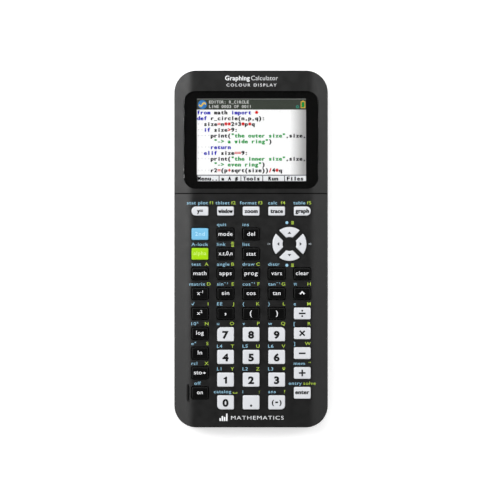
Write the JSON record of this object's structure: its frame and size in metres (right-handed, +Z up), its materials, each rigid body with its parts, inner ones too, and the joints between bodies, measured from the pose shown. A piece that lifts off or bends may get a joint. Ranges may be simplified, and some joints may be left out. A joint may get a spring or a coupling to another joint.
{
  "type": "graphing calculator",
  "caption": "Handheld graphing calculator with a colour display under a dark window, a ring of arrow keys and sprung keys that press down.",
  "frame": {"origin": "middle of the footprint, on the surface that the feet stand on", "axes": "+Z up out of the face, +Y towards the display end, +X to the right as the face is read"},
  "size_m": [0.0804, 0.187, 0.0155],
  "materials": {
    "front_plastic": "fine textured charcoal plastic",
    "rear_plastic": "spark-textured black plastic",
    "window": "clear hard-coated window with a black printed border",
    "display": "steel display frame",
    "circuit_board": "green solder mask",
    "membrane": "translucent grey silicone",
    "battery": "blue film over an aluminium can",
    "screw_steel": "zinc-plated steel",
    "reset_plastic": "dark grey plastic",
    "key_white": "semi-gloss off-white plastic",
    "key_black": "semi-gloss black plastic",
    "key_sky_blue": "semi-gloss sky blue plastic",
    "key_lime": "semi-gloss lime green plastic",
    "foot_rubber": "black rubber feet",
    "screen_picture": "lit picture on the display",
    "legend_ink": "printed legends"
  },
  "bodies": {
    "case": {"front_housing": "front_plastic", "rear_housing": "rear_plastic", "battery_cover": "rear_plastic", "screen_window": "window", "display_module": "display", "main_board": "circuit_board", "key_membrane": "membrane", "battery_pack": "battery", "case_screws": "screw_steel"},
    "reset_button": {"reset_button": "reset_plastic"},
    "key_y_equals": {"key_y_equals": "key_white"},
    "key_window": {"key_window": "key_white"},
    "key_zoom": {"key_zoom": "key_white"},
    "key_trace": {"key_trace": "key_white"},
    "key_graph": {"key_graph": "key_white"},
    "key_2nd": {"key_2nd": "key_sky_blue"},
    "key_mode": {"key_mode": "key_black"},
    "key_del": {"key_del": "key_black"},
    "key_alpha": {"key_alpha": "key_lime"},
    "key_variable": {"key_variable": "key_black"},
    "key_stat": {"key_stat": "key_black"},
    "key_math": {"key_math": "key_black"},
    "key_apps": {"key_apps": "key_black"},
    "key_prog": {"key_prog": "key_black"},
    "key_vars": {"key_vars": "key_black"},
    "key_clear": {"key_clear": "key_black"},
    "key_inverse": {"key_inverse": "key_black"},
    "key_sin": {"key_sin": "key_black"},
    "key_cos": {"key_cos": "key_black"},
    "key_tan": {"key_tan": "key_black"},
    "key_power": {"key_power": "key_black"},
    "key_square": {"key_square": "key_black"},
    "key_comma": {"key_comma": "key_black"},
    "key_open_bracket": {"key_open_bracket": "key_black"},
    "key_close_bracket": {"key_close_bracket": "key_black"},
    "key_divide": {"key_divide": "key_white"},
    "key_log": {"key_log": "key_black"},
    "key_ln": {"key_ln": "key_black"},
    "key_store": {"key_store": "key_black"},
    "key_on": {"key_on": "key_black"},
    "key_multiply": {"key_multiply": "key_white"},
    "key_subtract": {"key_subtract": "key_white"},
    "key_add": {"key_add": "key_white"},
    "key_enter": {"key_enter": "key_white"},
    "key_7": {"key_7": "key_white"},
    "key_8": {"key_8": "key_white"},
    "key_9": {"key_9": "key_white"},
    "key_4": {"key_4": "key_white"},
    "key_5": {"key_5": "key_white"},
    "key_6": {"key_6": "key_white"},
    "key_1": {"key_1": "key_white"},
    "key_2": {"key_2": "key_white"},
    "key_3": {"key_3": "key_white"},
    "key_0": {"key_0": "key_white"},
    "key_point": {"key_point": "key_white"},
    "key_negative": {"key_negative": "key_white"},
    "key_right": {"key_right": "key_white"},
    "key_up": {"key_up": "key_white"},
    "key_left": {"key_left": "key_white"},
    "key_down": {"key_down": "key_white"}
  },
  "joints": [
    {"name": "press_y_equals", "type": "slide", "parent": "case", "child": "key_y_equals", "axis": [0, 0, -1], "range_m": [0, 0.0012], "stiffness_N_per_m": 500, "springref_m": -0.001},
    {"name": "press_window", "type": "slide", "parent": "case", "child": "key_window", "axis": [0, 0, -1], "range_m": [0, 0.0012], "stiffness_N_per_m": 500, "springref_m": -0.001},
    {"name": "press_zoom", "type": "slide", "parent": "case", "child": "key_zoom", "axis": [0, 0, -1], "range_m": [0, 0.0012], "stiffness_N_per_m": 500, "springref_m": -0.001},
    {"name": "press_trace", "type": "slide", "parent": "case", "child": "key_trace", "axis": [0, 0, -1], "range_m": [0, 0.0012], "stiffness_N_per_m": 500, "springref_m": -0.001},
    {"name": "press_graph", "type": "slide", "parent": "case", "child": "key_graph", "axis": [0, 0, -1], "range_m": [0, 0.0012], "stiffness_N_per_m": 500, "springref_m": -0.001},
    {"name": "press_2nd", "type": "slide", "parent": "case", "child": "key_2nd", "axis": [0, 0, -1], "range_m": [0, 0.0012], "stiffness_N_per_m": 500, "springref_m": -0.001},
    {"name": "press_mode", "type": "slide", "parent": "case", "child": "key_mode", "axis": [0, 0, -1], "range_m": [0, 0.0012], "stiffness_N_per_m": 500, "springref_m": -0.001},
    {"name": "press_del", "type": "slide", "parent": "case", "child": "key_del", "axis": [0, 0, -1], "range_m": [0, 0.0012], "stiffness_N_per_m": 500, "springref_m": -0.001},
    {"name": "press_alpha", "type": "slide", "parent": "case", "child": "key_alpha", "axis": [0, 0, -1], "range_m": [0, 0.0012], "stiffness_N_per_m": 500, "springref_m": -0.001},
    {"name": "press_variable", "type": "slide", "parent": "case", "child": "key_variable", "axis": [0, 0, -1], "range_m": [0, 0.0012], "stiffness_N_per_m": 500, "springref_m": -0.001},
    {"name": "press_stat", "type": "slide", "parent": "case", "child": "key_stat", "axis": [0, 0, -1], "range_m": [0, 0.0012], "stiffness_N_per_m": 500, "springref_m": -0.001},
    {"name": "press_math", "type": "slide", "parent": "case", "child": "key_math", "axis": [0, 0, -1], "range_m": [0, 0.0012], "stiffness_N_per_m": 500, "springref_m": -0.001},
    {"name": "press_apps", "type": "slide", "parent": "case", "child": "key_apps", "axis": [0, 0, -1], "range_m": [0, 0.0012], "stiffness_N_per_m": 500, "springref_m": -0.001},
    {"name": "press_prog", "type": "slide", "parent": "case", "child": "key_prog", "axis": [0, 0, -1], "range_m": [0, 0.0012], "stiffness_N_per_m": 500, "springref_m": -0.001},
    {"name": "press_vars", "type": "slide", "parent": "case", "child": "key_vars", "axis": [0, 0, -1], "range_m": [0, 0.0012], "stiffness_N_per_m": 500, "springref_m": -0.001},
    {"name": "press_clear", "type": "slide", "parent": "case", "child": "key_clear", "axis": [0, 0, -1], "range_m": [0, 0.0012], "stiffness_N_per_m": 500, "springref_m": -0.001},
    {"name": "press_inverse", "type": "slide", "parent": "case", "child": "key_inverse", "axis": [0, 0, -1], "range_m": [0, 0.0012], "stiffness_N_per_m": 500, "springref_m": -0.001},
    {"name": "press_sin", "type": "slide", "parent": "case", "child": "key_sin", "axis": [0, 0, -1], "range_m": [0, 0.0012], "stiffness_N_per_m": 500, "springref_m": -0.001},
    {"name": "press_cos", "type": "slide", "parent": "case", "child": "key_cos", "axis": [0, 0, -1], "range_m": [0, 0.0012], "stiffness_N_per_m": 500, "springref_m": -0.001},
    {"name": "press_tan", "type": "slide", "parent": "case", "child": "key_tan", "axis": [0, 0, -1], "range_m": [0, 0.0012], "stiffness_N_per_m": 500, "springref_m": -0.001},
    {"name": "press_power", "type": "slide", "parent": "case", "child": "key_power", "axis": [0, 0, -1], "range_m": [0, 0.0012], "stiffness_N_per_m": 500, "springref_m": -0.001},
    {"name": "press_square", "type": "slide", "parent": "case", "child": "key_square", "axis": [0, 0, -1], "range_m": [0, 0.0012], "stiffness_N_per_m": 500, "springref_m": -0.001},
    {"name": "press_comma", "type": "slide", "parent": "case", "child": "key_comma", "axis": [0, 0, -1], "range_m": [0, 0.0012], "stiffness_N_per_m": 500, "springref_m": -0.001},
    {"name": "press_open_bracket", "type": "slide", "parent": "case", "child": "key_open_bracket", "axis": [0, 0, -1], "range_m": [0, 0.0012], "stiffness_N_per_m": 500, "springref_m": -0.001},
    {"name": "press_close_bracket", "type": "slide", "parent": "case", "child": "key_close_bracket", "axis": [0, 0, -1], "range_m": [0, 0.0012], "stiffness_N_per_m": 500, "springref_m": -0.001},
    {"name": "press_divide", "type": "slide", "parent": "case", "child": "key_divide", "axis": [0, 0, -1], "range_m": [0, 0.0012], "stiffness_N_per_m": 500, "springref_m": -0.001},
    {"name": "press_log", "type": "slide", "parent": "case", "child": "key_log", "axis": [0, 0, -1], "range_m": [0, 0.0012], "stiffness_N_per_m": 500, "springref_m": -0.001},
    {"name": "press_ln", "type": "slide", "parent": "case", "child": "key_ln", "axis": [0, 0, -1], "range_m": [0, 0.0012], "stiffness_N_per_m": 500, "springref_m": -0.001},
    {"name": "press_store", "type": "slide", "parent": "case", "child": "key_store", "axis": [0, 0, -1], "range_m": [0, 0.0012], "stiffness_N_per_m": 500, "springref_m": -0.001},
    {"name": "press_on", "type": "slide", "parent": "case", "child": "key_on", "axis": [0, 0, -1], "range_m": [0, 0.0012], "stiffness_N_per_m": 500, "springref_m": -0.001},
    {"name": "press_multiply", "type": "slide", "parent": "case", "child": "key_multiply", "axis": [0, 0, -1], "range_m": [0, 0.0012], "stiffness_N_per_m": 500, "springref_m": -0.001},
    {"name": "press_subtract", "type": "slide", "parent": "case", "child": "key_subtract", "axis": [0, 0, -1], "range_m": [0, 0.0012], "stiffness_N_per_m": 500, "springref_m": -0.001},
    {"name": "press_add", "type": "slide", "parent": "case", "child": "key_add", "axis": [0, 0, -1], "range_m": [0, 0.0012], "stiffness_N_per_m": 500, "springref_m": -0.001},
    {"name": "press_enter", "type": "slide", "parent": "case", "child": "key_enter", "axis": [0, 0, -1], "range_m": [0, 0.0012], "stiffness_N_per_m": 500, "springref_m": -0.001},
    {"name": "press_7", "type": "slide", "parent": "case", "child": "key_7", "axis": [0, 0, -1], "range_m": [0, 0.0012], "stiffness_N_per_m": 500, "springref_m": -0.001},
    {"name": "press_8", "type": "slide", "parent": "case", "child": "key_8", "axis": [0, 0, -1], "range_m": [0, 0.0012], "stiffness_N_per_m": 500, "springref_m": -0.001},
    {"name": "press_9", "type": "slide", "parent": "case", "child": "key_9", "axis": [0, 0, -1], "range_m": [0, 0.0012], "stiffness_N_per_m": 500, "springref_m": -0.001},
    {"name": "press_4", "type": "slide", "parent": "case", "child": "key_4", "axis": [0, 0, -1], "range_m": [0, 0.0012], "stiffness_N_per_m": 500, "springref_m": -0.001},
    {"name": "press_5", "type": "slide", "parent": "case", "child": "key_5", "axis": [0, 0, -1], "range_m": [0, 0.0012], "stiffness_N_per_m": 500, "springref_m": -0.001},
    {"name": "press_6", "type": "slide", "parent": "case", "child": "key_6", "axis": [0, 0, -1], "range_m": [0, 0.0012], "stiffness_N_per_m": 500, "springref_m": -0.001},
    {"name": "press_1", "type": "slide", "parent": "case", "child": "key_1", "axis": [0, 0, -1], "range_m": [0, 0.0012], "stiffness_N_per_m": 500, "springref_m": -0.001},
    {"name": "press_2", "type": "slide", "parent": "case", "child": "key_2", "axis": [0, 0, -1], "range_m": [0, 0.0012], "stiffness_N_per_m": 500, "springref_m": -0.001},
    {"name": "press_3", "type": "slide", "parent": "case", "child": "key_3", "axis": [0, 0, -1], "range_m": [0, 0.0012], "stiffness_N_per_m": 500, "springref_m": -0.001},
    {"name": "press_0", "type": "slide", "parent": "case", "child": "key_0", "axis": [0, 0, -1], "range_m": [0, 0.0012], "stiffness_N_per_m": 500, "springref_m": -0.001},
    {"name": "press_point", "type": "slide", "parent": "case", "child": "key_point", "axis": [0, 0, -1], "range_m": [0, 0.0012], "stiffness_N_per_m": 500, "springref_m": -0.001},
    {"name": "press_negative", "type": "slide", "parent": "case", "child": "key_negative", "axis": [0, 0, -1], "range_m": [0, 0.0012], "stiffness_N_per_m": 500, "springref_m": -0.001},
    {"name": "press_right", "type": "slide", "parent": "case", "child": "key_right", "axis": [0, 0, -1], "range_m": [0, 0.0012], "stiffness_N_per_m": 500, "springref_m": -0.001},
    {"name": "press_up", "type": "slide", "parent": "case", "child": "key_up", "axis": [0, 0, -1], "range_m": [0, 0.0012], "stiffness_N_per_m": 500, "springref_m": -0.001},
    {"name": "press_left", "type": "slide", "parent": "case", "child": "key_left", "axis": [0, 0, -1], "range_m": [0, 0.0012], "stiffness_N_per_m": 500, "springref_m": -0.001},
    {"name": "press_down", "type": "slide", "parent": "case", "child": "key_down", "axis": [0, 0, -1], "range_m": [0, 0.0012], "stiffness_N_per_m": 500, "springref_m": -0.001},
    {"name": "press_reset", "type": "slide", "parent": "case", "child": "reset_button", "axis": [0, 0, 1], "range_m": [0, 0.0005], "stiffness_N_per_m": 800, "springref_m": -0.001}
  ]
}
